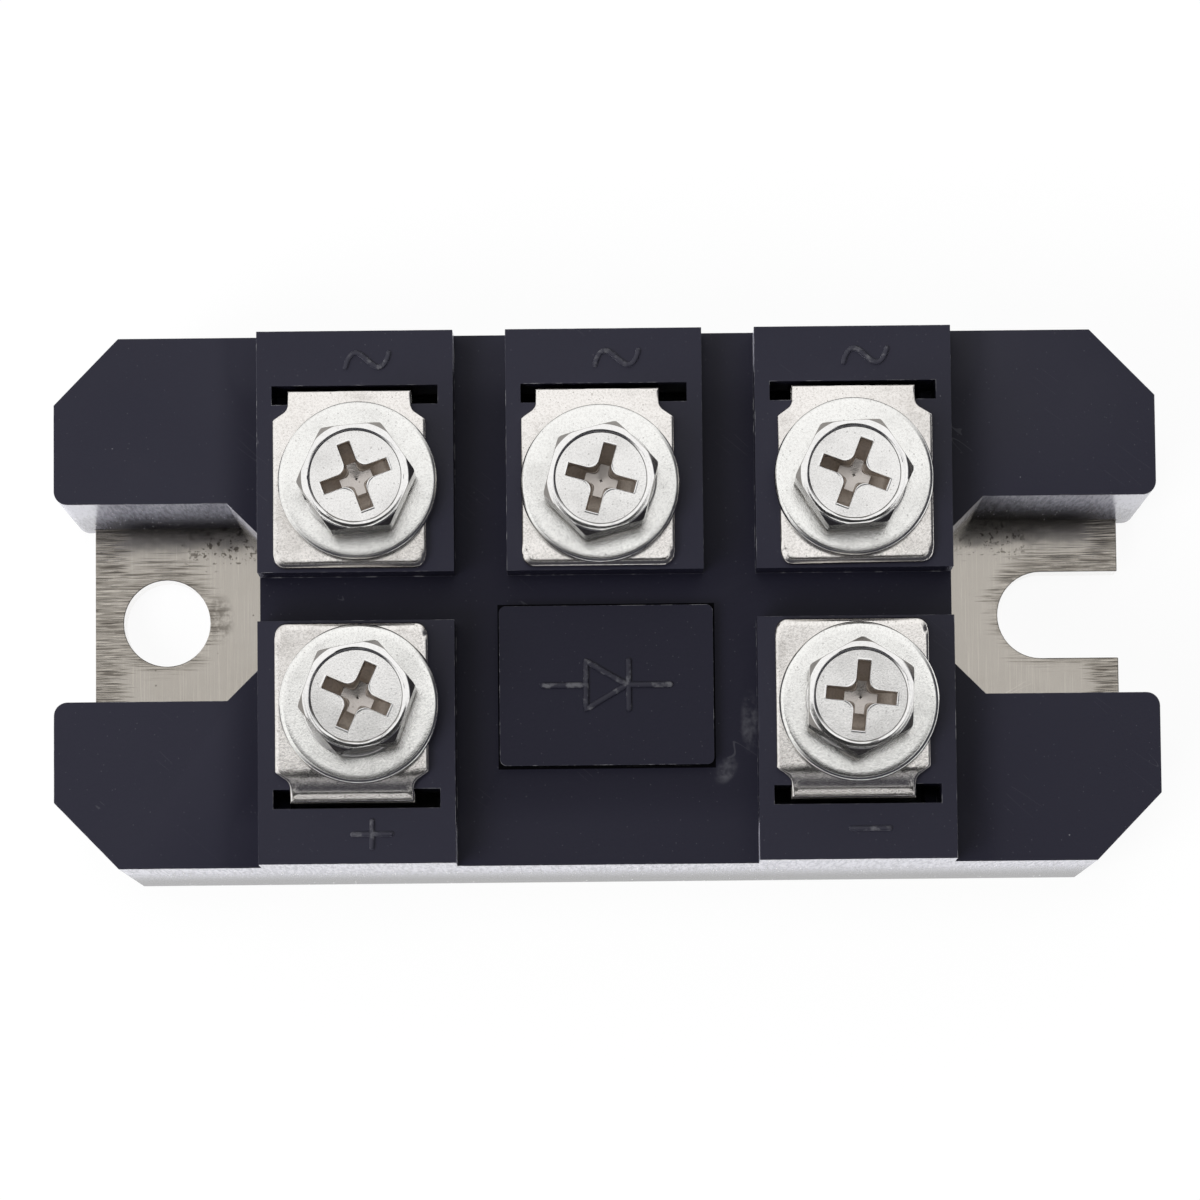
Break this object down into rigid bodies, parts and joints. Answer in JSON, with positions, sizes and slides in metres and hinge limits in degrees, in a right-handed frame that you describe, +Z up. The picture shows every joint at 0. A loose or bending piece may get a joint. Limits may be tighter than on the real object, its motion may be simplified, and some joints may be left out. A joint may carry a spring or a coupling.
{
  "type": "three-phase bridge rectifier module",
  "caption": "Flat moulded rectifier block on a metal base plate, with raised screw terminals and a mounting hole and slot in recessed ends.",
  "frame": {"origin": "middle of the underside of the base plate", "axes": "+X along the module towards the open mounting slot, +Y towards the three alternating-current terminals, +Z up out of the terminals"},
  "size_m": [0.0802, 0.0392, 0.0295],
  "materials": {
    "housing_plastic": "fine matt moulding, near black",
    "plate_metal": "nickel plated, sanded along its length",
    "ceramic": "fired white",
    "copper": "rolled copper",
    "silicon": "metallised silicon",
    "terminal_metal": "nickel plated, frosted",
    "nut_metal": "nickel plated",
    "screw_metal": "nickel plated, polished flanks",
    "washer_metal": "nickel plated, finely pitted",
    "potting_compound": "cured potting compound"
  },
  "bodies": {
    "root": {"housing": "housing_plastic", "base_plate": "plate_metal", "ceramic_substrate": "ceramic", "positive_bus": "copper", "negative_bus": "copper", "diode_chip_1": "silicon", "diode_chip_2": "silicon", "diode_chip_3": "silicon", "diode_chip_4": "silicon", "diode_chip_5": "silicon", "diode_chip_6": "silicon", "terminal_ac_1": "terminal_metal", "terminal_ac_2": "terminal_metal", "terminal_ac_3": "terminal_metal", "terminal_positive": "terminal_metal", "terminal_negative": "terminal_metal", "terminal_nuts": "nut_metal", "terminal_screws": "screw_metal", "spring_washers": "washer_metal", "flat_washers": "washer_metal", "potting": "potting_compound"}
  },
  "joints": []
}
